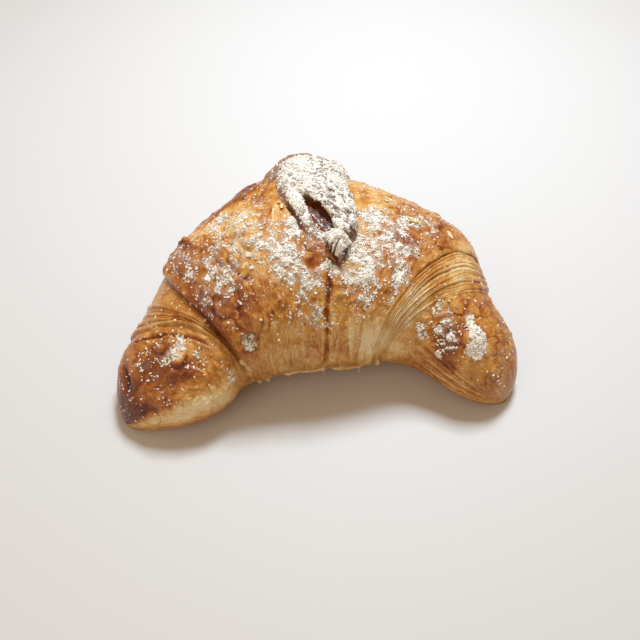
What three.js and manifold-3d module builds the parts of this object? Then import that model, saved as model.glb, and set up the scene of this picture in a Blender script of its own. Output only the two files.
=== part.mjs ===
// A croissant lying on its flat underside, in millimetres, +Z up, with its tips towards -Y.
// It was rolled from one triangle of laminated dough and baked as one piece, so it is one closed solid:
// a crescent loft with the stepped edges of the rolled dough, joined to the tongue,
// which is the apex of the dough triangle folded over the top.
import * as THREE from "three";
import { mergeVertices } from "three/addons/utils/BufferGeometryUtils.js";
import Module from "manifold-3d";

// ---- Driving dimensions ----
const REACH = 70; // from the middle to each tip's centre, along X
const SWEEP = 55; // how far the left tip's centre lies in front of the belly's centre
const BELLY_HALF_WIDTH = 41; // half of the belly, from the inner curve to the outer one
const BELLY_HEIGHT = 54;
const WAIST_SHARE = 0.4; // the widest level of a section, as a share of its height

// ---- The roll, from the left tip to the right one ----
// Each station is a section across the roll: its centre, its half width and its height, as shares of
// REACH, SWEEP, BELLY_HALF_WIDTH and BELLY_HEIGHT, and turned, which is the way that the roll heads
// there, in degrees from +X. The sections fan out evenly, so that they don't cross on the inner curve.
const STATIONS = [
  { along: -0.985, forward: 1.005, wide: 0.33, high: 0.33, turned: 44 },
  { along: -0.72, forward: 0.685, wide: 0.54, high: 0.52, turned: 46 },
  { along: -0.575, forward: 0.375, wide: 0.695, high: 0.745, turned: 34 },
  { along: -0.34, forward: 0.13, wide: 0.885, high: 0.94, turned: 17 },
  { along: -0.07, forward: -0.015, wide: 1.005, high: 1.0, turned: 2 },
  { along: 0.33, forward: 0.055, wide: 0.875, high: 0.9, turned: -15 },
  { along: 0.63, forward: 0.195, wide: 0.69, high: 0.77, turned: -31 },
  { along: 0.795, forward: 0.525, wide: 0.44, high: 0.55, turned: -45 },
  { along: 1.01, forward: 0.83, wide: 0.365, high: 0.36, turned: -47 },
];
const TIP_ROUNDING = 0.1; // share of the roll over which each tip rounds off
const TIP_END_HEIGHT = 0.35; // height of the rounded end, as a share of its section

// ---- Edges of the rolled dough ----
// Where each edge crosses the back, the top and the front of the roll, as shares from tip to tip.
const EDGES = [
  { back: 0.092, top: 0.159, front: 0.238 },
  { back: 0.244, top: 0.207, front: 0.27 },
  { back: 0.804, top: 0.751, front: 0.675 },
  { back: 0.824, top: 0.828, front: 0.709 },
];
const EDGE_RUN = 0.005; // share of the roll that a step takes

// The five stretches between the edges. lift is how far the skin stands off the plain loft,
// from the stretch's left end to its right end, through a middle value.
const STRETCHES = [
  { name: "left tip", rows: 15, lift: [0.5, 1.2, 0.8] },
  { name: "left cut edge", rows: 6, lift: [0.2, -0.5, -1.6] },
  { name: "outer wrap", rows: 34, lift: [1.4, 0.6, 1.4] },
  { name: "right cut edge", rows: 8, lift: [-1.6, -0.6, 0.0] },
  { name: "right tip", rows: 13, lift: [0.6, 0.9, 0.4] },
];
const COLUMNS = 40; // points round a section

// The crease that runs down the front, where the roll was bent into a crescent
const CREASE = { at: 0.557, halfWidth: 0.013, depth: 2.2, angle: 2.5, spread: 0.7 };

// ---- The tongue ----
// Its centreline from its root low on the back to its tip near the top of the front: place along the
// roll, angle round the section, half width as a share of the roll, and height off the skin (mm).
const TONGUE = [
  { at: 0.503, angle: -0.45, halfWidth: 0.064, lift: 0.6 },
  { at: 0.504, angle: -0.1, halfWidth: 0.064, lift: 2.5 },
  { at: 0.506, angle: 0.35, halfWidth: 0.063, lift: 6.0 },
  { at: 0.512, angle: 0.85, halfWidth: 0.062, lift: 8.0 },
  { at: 0.523, angle: 1.3, halfWidth: 0.059, lift: 7.0 },
  { at: 0.533, angle: 1.57, halfWidth: 0.053, lift: 5.5 },
  { at: 0.545, angle: 1.8, halfWidth: 0.037, lift: 5.0 },
  { at: 0.556, angle: 1.98, halfWidth: 0.022, lift: 4.5 },
  { at: 0.56, angle: 2.08, halfWidth: 0.014, lift: 2.5 },
];
const TONGUE_ROWS = 26;
const TONGUE_COLUMNS = 24;
const TONGUE_ROOT_DEPTH = 5; // how far the tongue's underside sinks into the roll

const CRUST_COLOUR = 0xb9742e;

// ---- The loft ----
const spine = new THREE.CatmullRomCurve3(
  STATIONS.map((s) => new THREE.Vector3(s.along * REACH, -s.forward * SWEEP, 0)),
);
const sizes = new THREE.CatmullRomCurve3(
  STATIONS.map((s) => new THREE.Vector3(s.wide * BELLY_HALF_WIDTH, s.high * BELLY_HEIGHT, s.turned)),
);

// How full the roll is at a place along it: 1, falling to 0 on a quarter circle at each tip.
function fullness(at) {
  const fromTip = Math.min(at, 1 - at) / TIP_ROUNDING;
  return fromTip >= 1 ? 1 : Math.sqrt(Math.max(0, 1 - (1 - fromTip) ** 2));
}

// A point on the skin: at is the place from tip to tip, angle goes from the back (0) over the top
// (a quarter turn) to the front (half a turn) and under, and lift moves the point off the plain loft.
function skin(at, angle, lift) {
  const centre = spine.getPoint(at);
  const size = sizes.getPoint(at);
  const turned = THREE.MathUtils.degToRad(size.z);
  const full = fullness(at);
  const halfWidth = size.x * full;
  const height = size.y * (TIP_END_HEIGHT + (1 - TIP_END_HEIGHT) * full) * full ** 0.3;
  const waist = height * WAIST_SHARE;
  const c = Math.cos(angle);
  const s = Math.sin(angle);
  const under = s < 0;
  const across = halfWidth * (under ? Math.sign(c) * Math.abs(c) ** 0.8 : c);
  const up = under ? waist * (1 - 1.12 * Math.abs(s) ** 0.8) : waist + (height - waist) * s;

  // Outward direction in the section's plane, and how much of the lift is left near the underside
  const outAcross = c / Math.max(halfWidth, 1);
  const outUp = s / Math.max(under ? waist : height - waist, 1);
  const outLength = Math.hypot(outAcross, outUp);
  const kept = lift * THREE.MathUtils.smoothstep(s, -0.55, 0) * full;
  const moved = across + (kept * outAcross) / outLength;
  const raised = Math.max(0, up + (kept * outUp) / outLength);
  return new THREE.Vector3(
    centre.x - Math.sin(turned) * moved,
    centre.y + Math.cos(turned) * moved,
    raised,
  );
}

// Where an edge of the dough crosses a line at this angle round the roll
function edgeAt(edge, angle) {
  const middle = (edge.back + edge.front) / 2;
  return middle + ((edge.back - edge.front) / 2) * Math.cos(angle) + (edge.top - middle) * Math.sin(angle);
}

// A smooth value through three: at 0, at a half and at 1
function through([first, middle, last], share) {
  return first * (1 - share) * (1 - 2 * share) + 4 * middle * share * (1 - share) + last * share * (2 * share - 1);
}

function crease(at, angle) {
  const along = (at - CREASE.at) / CREASE.halfWidth;
  const round = (angle - CREASE.angle) / CREASE.spread;
  return -CREASE.depth * Math.exp(-along * along - round * round);
}

// ---- Closed meshes from rows of points ----
// rows: rings of points with the same count, the first and last closed by a fan to their middle
function closedLoft(rows) {
  const count = rows[0].length;
  const points = rows.flat();
  const first = points.push(middleOf(rows[0])) - 1;
  const last = points.push(middleOf(rows[rows.length - 1])) - 1;
  const index = [];
  for (let r = 0; r + 1 < rows.length; r++)
    for (let k = 0; k < count; k++) {
      const next = (k + 1) % count;
      const a = r * count + k;
      const b = r * count + next;
      index.push(a, b, b + count, a, b + count, a + count);
    }
  const lastRow = (rows.length - 1) * count;
  for (let k = 0; k < count; k++) {
    const next = (k + 1) % count;
    index.push(first, next, k);
    index.push(last, lastRow + k, lastRow + next);
  }
  const geometry = new THREE.BufferGeometry().setFromPoints(points);
  geometry.setIndex(index);
  return geometry;
}

function middleOf(points) {
  const sum = points.reduce((total, p) => total.add(p), new THREE.Vector3());
  return sum.divideScalar(points.length);
}

// ---- The rolled crescent ----
function rollRows() {
  const rows = [];
  STRETCHES.forEach((stretch, n) => {
    for (let r = 0; r < stretch.rows; r++) {
      const share = r / (stretch.rows - 1);
      const ring = [];
      for (let k = 0; k < COLUMNS; k++) {
        const angle = (2 * Math.PI * k) / COLUMNS;
        const from = n === 0 ? 0.0008 : edgeAt(EDGES[n - 1], angle) + EDGE_RUN / 2;
        const to = n === EDGES.length ? 0.9992 : edgeAt(EDGES[n], angle) - EDGE_RUN / 2;
        const at = from + (to - from) * spread(share, n);
        ring.push(skin(at, angle, through(stretch.lift, share) + crease(at, angle)));
      }
      rows.push(ring);
    }
  });
  return rows;
}

// Rows lie closer together towards the rounded tips
function spread(share, stretch) {
  if (stretch === 0) return share ** 1.7;
  if (stretch === STRETCHES.length - 1) return 1 - (1 - share) ** 1.7;
  return share;
}

// ---- The tongue, as a closed loft that sinks into the roll ----
function tongueRows() {
  const line = new THREE.CatmullRomCurve3(TONGUE.map((t) => new THREE.Vector3(t.at, t.angle, 0)));
  const shape = new THREE.CatmullRomCurve3(TONGUE.map((t) => new THREE.Vector3(t.halfWidth, t.lift, 0)));
  const rows = [];
  for (let r = 0; r < TONGUE_ROWS; r++) {
    const share = r / (TONGUE_ROWS - 1);
    const place = line.getPoint(share);
    const size = shape.getPoint(share);
    const ring = [];
    for (let k = 0; k < TONGUE_COLUMNS; k++) {
      const turn = (2 * Math.PI * k) / TONGUE_COLUMNS;
      const side = Math.cos(turn) * size.x;
      const rise = Math.sin(turn);
      const lift = rise > 0 ? size.y * rise ** 0.5 : TONGUE_ROOT_DEPTH * rise;
      ring.push(skin(place.x + side, place.y, lift));
    }
    rows.push(ring);
  }
  return rows;
}

// ---- Joining ----
const wasm = await Module();
wasm.setup();

function solidFrom(geometry) {
  const merged = mergeVertices(geometry, 1e-4);
  return new wasm.Manifold(
    new wasm.Mesh({
      numProp: 3,
      vertProperties: new Float32Array(merged.attributes.position.array),
      triVerts: new Uint32Array(merged.index.array),
    }),
  );
}

function geometryFrom(solid) {
  const mesh = solid.getMesh();
  const geometry = new THREE.BufferGeometry();
  geometry.setAttribute("position", new THREE.BufferAttribute(mesh.vertProperties, mesh.numProp));
  geometry.setIndex(new THREE.BufferAttribute(mesh.triVerts, 1));
  geometry.computeVertexNormals();
  return geometry;
}

const roll = solidFrom(closedLoft(rollRows()));
const tongue = solidFrom(closedLoft(tongueRows()));
const loaf = geometryFrom(roll.add(tongue));

// The origin is under the middle of the croissant, on the surface it lies on.
loaf.computeBoundingBox();
const middle = loaf.boundingBox.getCenter(new THREE.Vector3());
loaf.translate(-middle.x, -middle.y, -loaf.boundingBox.min.z);

const croissant = new THREE.Mesh(
  loaf,
  new THREE.MeshStandardMaterial({ color: CRUST_COLOUR, roughness: 0.55, metalness: 0 }),
);
croissant.name = "croissant";

const object = new THREE.Group();
object.add(croissant);
export default object;
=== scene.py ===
# %% [markdown]
# # A butter croissant dusted with icing sugar
# A croissant is one triangle of laminated dough, about thirty thin leaves with butter between them,
# rolled up from its wide side, bent into a crescent, brushed with egg and baked. What the eye reads
# is the stack of edges: the last wrap lies over the one before it, and that one over the tip, and
# each edge shows its leaves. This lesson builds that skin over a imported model, which gives the true
# size and place of everything.

# %% Load the frame
import math

import bpy
import numpy as np
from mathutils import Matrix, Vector


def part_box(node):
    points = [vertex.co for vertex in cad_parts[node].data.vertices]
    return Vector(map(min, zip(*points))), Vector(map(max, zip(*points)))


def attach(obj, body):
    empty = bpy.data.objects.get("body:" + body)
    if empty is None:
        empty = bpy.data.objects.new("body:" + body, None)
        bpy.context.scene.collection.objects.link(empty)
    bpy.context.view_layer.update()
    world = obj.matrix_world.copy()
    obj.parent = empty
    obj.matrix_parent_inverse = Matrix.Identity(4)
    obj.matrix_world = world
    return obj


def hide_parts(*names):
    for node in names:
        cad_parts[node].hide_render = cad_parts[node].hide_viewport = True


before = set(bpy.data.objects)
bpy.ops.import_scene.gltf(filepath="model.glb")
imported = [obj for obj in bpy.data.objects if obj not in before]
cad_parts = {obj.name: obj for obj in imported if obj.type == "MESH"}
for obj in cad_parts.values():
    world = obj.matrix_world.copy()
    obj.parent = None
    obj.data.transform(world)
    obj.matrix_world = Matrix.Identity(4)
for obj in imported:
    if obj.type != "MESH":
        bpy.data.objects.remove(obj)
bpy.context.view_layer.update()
NODE = "croissant"
BODY = "root"
MM = 0.001
low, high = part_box(NODE)
centre = (low + high) / 2
print("the croissant is", [round(s / MM, 1) for s in high - low], "mm")

# %% [markdown]
# ## The camera and the room
# The croissant is seen from the front and well above, as it is from a chair at the table. A lens
# that is a little wide, from near by, keeps the perspective of that view. The light comes mostly
# from behind and above, through a large soft source, so the shadow falls towards the viewer and
# every ridge has a bright far side.

# %% Camera
CAMERA_RISE = math.radians(54.0)
CAMERA_DISTANCE = 247 * MM
CAMERA_LENS = 33.75
AIM = Vector((centre.x, centre.y - 1.2 * MM, low.z))

camera_data = bpy.data.cameras.new("camera")
camera_data.lens = CAMERA_LENS
camera_data.sensor_width = 36
camera_data.clip_start = 10 * MM
camera = bpy.data.objects.new("camera", camera_data)
away = Vector((0, -math.cos(CAMERA_RISE), math.sin(CAMERA_RISE)))
camera.location = AIM + away * CAMERA_DISTANCE
camera.rotation_euler = away.to_track_quat("Z", "Y").to_euler()
bpy.context.collection.objects.link(camera)
bpy.context.scene.camera = camera
bpy.context.scene.view_settings.view_transform = "Standard"
print("camera at", [round(c / MM) for c in camera.location], "mm")


# %% Lights and floor
def linear(code, alpha=1.0):
    """An sRGB hex colour as the linear numbers that shaders use."""
    parts = [int(code[i : i + 2], 16) / 255 for i in (0, 2, 4)]
    return [p / 12.92 if p <= 0.04045 else ((p + 0.055) / 1.055) ** 2.4 for p in parts] + [alpha]


def area_light(name, place, size, watts, colour):
    """A square soft light that looks at the croissant's middle. place is in millimetres from it."""
    data = bpy.data.lights.new(name, "AREA")
    data.size = size * MM
    data.energy = watts
    data.color = linear(colour)[:3]
    lamp = bpy.data.objects.new(name, data)
    lamp.location = Vector((centre.x, centre.y, low.z)) + Vector(place) * MM
    lamp.rotation_euler = Vector(place).to_track_quat("Z", "Y").to_euler()
    bpy.context.collection.objects.link(lamp)
    return lamp


area_light("key_light", (60, 260, 520), 140, 3.8, "E9F4FC")
area_light("fill_light", (-380, -420, 420), 500, 0.8, "FFF0E0")
room = bpy.data.worlds.new("room")
room.use_nodes = True
room.node_tree.nodes["Background"].inputs["Color"].default_value = linear("FFDDB0")
room.node_tree.nodes["Background"].inputs["Strength"].default_value = 0.42
bpy.context.scene.world = room

bpy.ops.object.select_all(action="DESELECT")
bpy.ops.mesh.primitive_plane_add(size=4, location=(centre.x, centre.y, low.z))
floor = bpy.context.object
floor.name = "floor"
print("the room has", len(bpy.data.lights), "lights and a floor")

# %% [markdown]
# ## The plain crescent
# A cook sees a croissant as a roll that gets thinner and lower towards its two tips. Nine sections
# across the roll are enough to hold that shape: where each one's centre is, how wide and high it
# is, and which way the roll heads there. A smooth curve through them gives every place between.
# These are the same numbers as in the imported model, so whatever is drawn on this crescent lies
# where the model's surface is.

# %% The crescent's sections
REACH = 70
SWEEP = 55
BELLY_HALF_WIDTH = 41
BELLY_HEIGHT = 54
WAIST_SHARE = 0.4
TIP_ROUNDING = 0.1
TIP_END_HEIGHT = 0.35
# along, forward, half width and height, as shares of the four sizes above, and the heading in degrees
STATIONS = np.array([
    (-0.985, 1.005, 0.33, 0.33, 44),
    (-0.72, 0.685, 0.54, 0.52, 46),
    (-0.575, 0.375, 0.695, 0.745, 34),
    (-0.34, 0.13, 0.885, 0.94, 17),
    (-0.07, -0.015, 1.005, 1.0, 2),
    (0.33, 0.055, 0.875, 0.9, -15),
    (0.63, 0.195, 0.69, 0.77, -31),
    (0.795, 0.525, 0.44, 0.55, -45),
    (1.01, 0.83, 0.365, 0.36, -47),
])
STATION_UNITS = np.array([REACH, -SWEEP, BELLY_HALF_WIDTH, BELLY_HEIGHT, math.pi / 180])
ROLL_LENGTH = 170  # millimetres from tip to tip along the middle of the roll
SKIN_LIFT = 0.9  # millimetres; about how far the crust stands off the plain crescent
print("the roll goes through", len(STATIONS), "sections")


# %% A smooth curve and a smooth step
def through(points, share):
    """A smooth curve through evenly spaced points, read at each share from 0 to 1."""
    spans = len(points) - 1
    place = np.clip(share, 0, 1) * spans
    span = np.minimum(place.astype(int), spans - 1)
    f = (place - span)[..., None]
    ends = np.vstack([2 * points[0] - points[1], points, 2 * points[-1] - points[-2]])
    a, b, c, d = ends[span], ends[span + 1], ends[span + 2], ends[span + 3]
    return b + 0.5 * f * (c - a + f * (2 * a - 5 * b + 4 * c - d + f * (3 * (b - c) + d - a)))


def ease(x, start, end):
    """0 before start, 1 after end, and a smooth rise between."""
    t = np.clip((x - start) / (end - start), 0, 1)
    return t * t * (3 - 2 * t)


print("a quarter of the way, the smooth step is at", round(float(ease(0.25, 0, 1)), 2))


# %% A place on the crescent
def crescent(at, angle, lift):
    """Points on the croissant, in millimetres.

    at goes from the left tip (0) to the right one (1), angle from the back (0) over the top (a quarter turn)
    to the front and under, and lift is how far the skin is raised, which fades out under the roll.
    """
    x, y, half_width, height, heading = np.moveaxis(through(STATIONS * STATION_UNITS, at), -1, 0)
    from_tip = np.clip(np.minimum(at, 1 - at) / TIP_ROUNDING, 0, 1)
    full = np.sqrt(1 - (1 - from_tip) ** 2)
    half_width = half_width * full
    height = height * (TIP_END_HEIGHT + (1 - TIP_END_HEIGHT) * full) * full**0.3
    waist = height * WAIST_SHARE
    c, s = np.cos(angle), np.sin(angle)
    under = s < 0
    across = half_width * np.where(under, np.sign(c) * np.abs(c) ** 0.8, c)
    up = np.where(under, waist * (1 - 1.12 * np.abs(s) ** 0.8), waist + (height - waist) * s)
    out_across = c / np.maximum(half_width, 1)
    out_up = s / np.maximum(np.where(under, waist, height - waist), 1)
    out = np.hypot(out_across, out_up)
    kept = lift * ease(s, -0.55, 0) * full
    across = across + kept * out_across / out
    up = np.maximum(0, up + kept * out_up / out)
    return np.stack([x - np.sin(heading) * across, y + np.cos(heading) * across, up], -1)


print("halfway, the roll's top is at", crescent(np.array([0.5]), math.pi / 2, 0)[0].round(1), "mm")

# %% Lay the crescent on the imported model
every_place = np.meshgrid(np.linspace(0.001, 0.999, 400), np.linspace(0, 2 * math.pi, 240))
plain = crescent(*every_place, SKIN_LIFT).reshape(-1, 3)
SHIFT = np.array([
    centre.x / MM - (plain[:, 0].min() + plain[:, 0].max()) / 2,
    low.y / MM - plain[:, 1].min(),
    low.z / MM,
])
print("the crescent moves by", SHIFT.round(2), "mm onto the model")


# %% [markdown]
# ## Roughness that is the same every time
# Dough blisters, puckers and tears as the steam leaves it, so no stretch of crust is smooth. A
# gradient of random numbers on a lattice, read in millimetres, gives soft bumps of any size. Its
# numbers come from the lattice place itself, so the croissant is the same on each run.


# %% Noise
LATTICE = np.array([73856093, 19349663, 83492791], np.uint32)


def scrambled(key):
    """A number from -1 to 1 for each whole number."""
    key = (key ^ (key >> 15)) * np.uint32(739982445)
    key = (key ^ (key >> 12)) * np.uint32(695872825)
    return (key ^ (key >> 15)) * (2 / 2**32) - 1


def noise(points, size, seed=0):
    """Soft bumps from -1 to 1, about size millimetres across."""
    place = np.asarray(points, float) / size + 137.31 * (seed + 1)
    cell = np.floor(place)
    f = place - cell
    f = f * f * (3 - 2 * f)
    keys = cell.astype(np.int64).astype(np.uint32) * LATTICE
    total = 0
    for corner in np.ndindex(2, 2, 2):
        key = np.uint32(seed + 1)
        weight = 1
        for axis, step in enumerate(corner):
            key = key ^ (keys[..., axis] + step * LATTICE[axis])
            weight = weight * (f[..., axis] if step else 1 - f[..., axis])
        total = total + weight * scrambled(key)
    return total


def rough(points, size, seed=0, octaves=3):
    """Bumps on bumps: each octave is half as large and half as high as the one before."""
    total = sum(noise(points, size / 2**n, seed + 11 * n) / 2**n for n in range(octaves))
    return total / (2 - 2.0 ** (1 - octaves))


def ridged(points, size, seed=0):
    """1 along thin winding lines, falling to 0 between them: the puckers of a skin that has dried."""
    return 1 - np.minimum(1, np.abs(noise(points, size, seed)) * 4)


sample = noise(np.linspace((0, 0, 0), (90, 60, 30), 1000), 5)
print("along one line, the noise runs from", sample.min().round(2), "to", sample.max().round(2))

# %% [markdown]
# ## The wrap edges
# Each wrap of dough ends in an edge that runs round the roll at a slant, because the triangle gets
# narrower towards its apex. There are two on each arm: the outer wrap's edge, and the edge of the
# wrap under it, by the tip. Between the two the leaves show. An edge is written as where it crosses
# the back, the top and the front, and it wanders a little, since no baker cuts or rolls quite
# straight.

# %% Edges
# where each edge crosses the back, the top and the front, as shares from tip to tip
EDGES = {
    "left tip": (0.092, 0.159, 0.238),
    "left wrap": (0.244, 0.207, 0.27),
    "right wrap": (0.804, 0.751, 0.675),
    "right tip": (0.824, 0.828, 0.709),
}
EDGE_WANDER = 0.005


def edge_at(name, angle):
    """Where an edge is, as a share from tip to tip, at each angle round the roll."""
    back, top, front = EDGES[name]
    middle = (back + front) / 2
    loop = np.stack([np.cos(angle), np.sin(angle), 0 * angle], -1)
    wander = rough(loop * 40, 12, seed=len(name) + round(1000 * top)) * EDGE_WANDER
    return middle + (back - front) / 2 * np.cos(angle) + (top - middle) * np.sin(angle) + wander


for name in EDGES:
    print("the", name, "edge crosses the top at", edge_at(name, np.array([math.pi / 2]))[0].round(3))

# %% [markdown]
# ## A sphere that becomes a sleeve
# A stretch of the roll is a closed skin with two ends, and so is a sphere. Each stretch starts as
# Blender's sphere primitive with as many rings and segments as it needs. Its rings are then laid
# along the crescent, one after another, which keeps both poles closed. The segments lie closer over
# the top, which is seen, than under the roll, where it sat on the tray.

# %% From a sphere to rows and columns
SEEN_FROM = math.radians(-25)
SEEN_TO = math.radians(205)
SEEN_SHARE = 0.86
GRAIN_RADIUS = 16  # millimetres; the roll's own is up to 45, so a pattern comes out longer round it


def sphere(name, rows, columns):
    """A sphere primitive, and the row and the column of each of its vertices."""
    bpy.ops.object.select_all(action="DESELECT")
    bpy.ops.mesh.primitive_uv_sphere_add(segments=columns, ring_count=rows, radius=1)
    piece = bpy.context.object
    piece.name = piece.data.name = name
    co = np.empty(len(piece.data.vertices) * 3)
    piece.data.vertices.foreach_get("co", co)
    x, y, z = co.reshape(-1, 3).T
    row = np.rint(np.arccos(np.clip(z, -1, 1)) / math.pi * rows).astype(int)
    column = np.rint(np.arctan2(y, x) / (2 * math.pi) * columns).astype(int) % columns
    return piece, row, column


def angles(columns):
    """The angle round the roll of each column, the other way round from a sphere's, so faces point out."""
    share = 1 - np.arange(columns) / columns
    seen = SEEN_FROM + share / SEEN_SHARE * (SEEN_TO - SEEN_FROM)
    unseen = SEEN_TO + (share - SEEN_SHARE) / (1 - SEEN_SHARE) * (2 * math.pi - SEEN_TO + SEEN_FROM)
    return np.where(share < SEEN_SHARE, seen, unseen)


def lay(piece, row, column, points):
    """Moves each vertex to its place in a grid of points, in millimetres, and smooths the shading."""
    xyz = (points[row, column] + SHIFT) * MM
    piece.data.vertices.foreach_set("co", xyz.astype(np.float32).ravel())
    piece.data.update()
    bpy.ops.object.select_all(action="DESELECT")
    piece.select_set(True)
    bpy.context.view_layer.objects.active = piece
    bpy.ops.object.shade_smooth()
    while piece.data.uv_layers:
        piece.data.uv_layers.remove(piece.data.uv_layers[0])


def pulled(at, angle):
    """Places along and round the roll, drawn together round it, so a pattern on them runs round the roll."""
    return np.stack([at * ROLL_LENGTH, GRAIN_RADIUS * np.cos(angle), GRAIN_RADIUS * np.sin(angle)], -1)


def paint(piece, row, column, grain, **coats):
    """Keeps each coat, a grid of numbers, on the piece as an attribute that its material can read.

    grain is a grid of places in millimetres that the material's own patterns follow.
    """
    layer = piece.data.attributes.new("grain", "FLOAT_VECTOR", "POINT")
    layer.data.foreach_set("vector", (grain[row, column] * MM).astype(np.float32).ravel())
    for name, values in coats.items():
        layer = piece.data.attributes.new(name, "FLOAT", "POINT")
        values = np.broadcast_to(values, (row.max() + 1, column.max() + 1))
        layer.data.foreach_set("value", values[row, column].astype(np.float32))


print("over the top lie", round(100 * SEEN_SHARE), "% of the columns")

# %% [markdown]
# ## Blisters and puckers
# Steam lifts the outermost leaf into blisters with a sharp rim. The larger ones are placed one by
# one, and a few hundred small ones are scattered by a seeded draw. A blister is a low dome whose
# radius wavers, and a blister that burst is the same dome, sunk.

# %% Blisters
# at, angle in degrees, radius and height in millimetres
NAMED_BLISTERS = [
    (0.112, 108, 3.2, 1.3),
    (0.052, 127, 3.6, 1.1),
    (0.105, 88, 2.2, 0.6),
    (0.135, 100, 2.0, 0.5),
    (0.030, 150, 3.6, 0.7),
    (0.276, 37, 2.4, 1.3),
    (0.287, 68, 3.0, 0.9),
    (0.355, 84, 4.4, 1.2),
    (0.372, 98, 3.0, 1.0),
    (0.345, 110, 2.6, 0.8),
    (0.300, 78, 3.0, 1.1),
    (0.286, 100, 2.6, 0.9),
    (0.315, 92, 4.2, 1.1),
    (0.330, 101, 2.6, 0.9),
    (0.270, 118, 5.0, 0.8),
    (0.320, 138, 5.5, 0.9),
    (0.705, 62, 4.5, 1.2),
    (0.735, 78, 4.0, 0.8),
    (0.900, 108, 4.4, 1.4),
    (0.290, 149, 3.4, -0.9),
    (0.935, 92, 3.6, 0.9),
    (0.840, 100, 3.2, 0.45),
    (0.965, 108, 2.6, 0.8),
    (0.945, 84, 2.4, 0.7),
    (0.930, 74, 2.6, 0.7),
    (0.958, 95, 1.8, 0.6),
    (0.966, 122, 2.0, 0.6),
    (0.880, 72, 3.0, 0.6),
    (0.860, 84, 4.0, 0.6),
]
SMALL_BLISTERS = 420
draw = np.random.default_rng(20)
small_blisters = np.stack([
    draw.uniform(0.015, 0.985, SMALL_BLISTERS),
    draw.uniform(30, 150, SMALL_BLISTERS),
    draw.uniform(0.9, 2.4, SMALL_BLISTERS),
    draw.uniform(0.1, 0.42, SMALL_BLISTERS),
], -1)
BLISTERS = np.vstack([NAMED_BLISTERS, small_blisters])
BLISTER_PLACES = crescent(BLISTERS[:, 0], np.radians(BLISTERS[:, 1]), np.full(len(BLISTERS), SKIN_LIFT))
BLISTER_WAVER = 0.35
RIM_WIDTH = 0.45  # millimetres
print("blisters:", len(NAMED_BLISTERS), "placed and", SMALL_BLISTERS, "scattered")


def off_blister(points, place, radius, waver):
    """How far points are from a blister's middle: 0 there and 1 at its wavering rim."""
    return np.linalg.norm(points - place, axis=-1) / radius * waver


def blistered(points):
    """How far the blisters lift the skin at each point, in millimetres."""
    total = np.zeros(points.shape[:-1])
    waver = 1 + BLISTER_WAVER * noise(points, 2.6, seed=3)
    for place, (_, _, radius, height) in zip(BLISTER_PLACES, BLISTERS):
        near = np.nonzero(np.abs(points[..., 0] - place[0]) < radius * 1.6)
        t = off_blister(points[near], place, radius, waver[near])
        total[near] += height * np.sqrt(np.clip(1 - t * t, 0, 1))
    return total


def blister_rims(points):
    """1 on the rims of the larger blisters, where the skin bends sharply and browns."""
    total = np.zeros(points.shape[:-1])
    waver = 1 + BLISTER_WAVER * noise(points, 2.6, seed=3)
    for place, (_, _, radius, _) in zip(BLISTER_PLACES, NAMED_BLISTERS):
        t = off_blister(points, place, radius, waver)
        total = np.maximum(total, np.exp(-(((t - 1) * radius / RIM_WIDTH) ** 2)))
    return total


def crust_relief(points):
    """The lift, in millimetres, that every crusty stretch has: swells, lumps, puckers and blisters."""
    swell = 0.7 * noise(points, 15, seed=1)
    lumps = 0.42 * rough(points, 5.5, seed=2) + 0.26 * rough(points, 2.9, seed=7, octaves=2)
    fine = 0.28 * rough(points, 1.5, seed=4, octaves=2)
    puckers = 0.44 * ridged(points, 4.5, seed=5) * ease(noise(points, 12, seed=6), -0.3, 0.4)
    return swell + lumps + fine + puckers + blistered(points)


print("the highest blister is", BLISTERS[:, 3].max(), "mm high")

# %% [markdown]
# ## Torn leaves
# The outermost leaves are thinner than paper, and where one tore or ended, the crust drops by its
# thickness along a ragged line. A staircase over noise draws just that: flat plates of crust with
# ragged rims. The rims are painted paler as a highlight and the foot of each step darker as
# shade. The noise is stretched round the roll, the way the dough was pulled. How far the steps
# show varies by place.

# %% Torn leaves
# at, angle in degrees, reach along in shares and round in degrees, how far the leaves show
TORN_BASE = 0.35
TORN_PATCHES = [
    (0.305, 56, 0.040, 16, 0.75),
    (0.400, 80, 0.070, 30, 0.40),
    (0.560, 158, 0.120, 26, 0.45),
    (0.620, 66, 0.050, 18, 0.45),
    (0.690, 80, 0.040, 14, 0.40),
    (0.690, 150, 0.070, 22, 0.25),
    (0.240, 158, 0.040, 16, 0.45),
    (0.080, 150, 0.070, 10, 0.25),
]
LEAF_THICKNESS = 0.42  # millimetres, a few leaves that stayed together
TORN_RADIUS = 26  # millimetres; used for the torn edges as GRAIN_RADIUS is for the grain
STEPS = 4.2


def patched(base, patches, at, angle, points):
    """A base value with patches on it, whose outlines the noise makes ragged."""
    along = at + 0.008 * rough(points, 5, seed=31)
    turn = np.degrees(angle) + 4.5 * rough(points, 5, seed=32)
    total = np.full(at.shape, float(base))
    for place, round_place, reach, round_reach, amount in patches:
        far = ((along - place) / reach) ** 2 + ((turn - round_place) / round_reach) ** 2
        total += amount * np.exp(-(far**1.5))
    return total


def torn_leaves(at, angle, points):
    """The height of the plates in millimetres, and where their rims and feet are: painted highlight and
    shade.
    """
    drawn = np.stack([at * ROLL_LENGTH, angle * TORN_RADIUS, points[..., 2] * 0.3], -1)
    stair = rough(drawn, 13, seed=21, octaves=5) * STEPS
    f = stair - np.floor(stair)
    rise = ease(f, 0.86, 1.0)
    shown = patched(TORN_BASE, TORN_PATCHES, at, angle, points)
    rim = ease(f, 0.0, 0.03) * (1 - ease(f, 0.05, 0.22)) + ease(f, 0.97, 1.0)
    foot = ease(f, 0.70, 0.88) * (1 - ease(f, 0.88, 0.96))
    return LEAF_THICKNESS * (rise - 0.4 * f) * shown, rim * shown, foot * shown


print("the crust drops by", LEAF_THICKNESS, "mm where a leaf is torn, more in", len(TORN_PATCHES), "patches")
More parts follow.
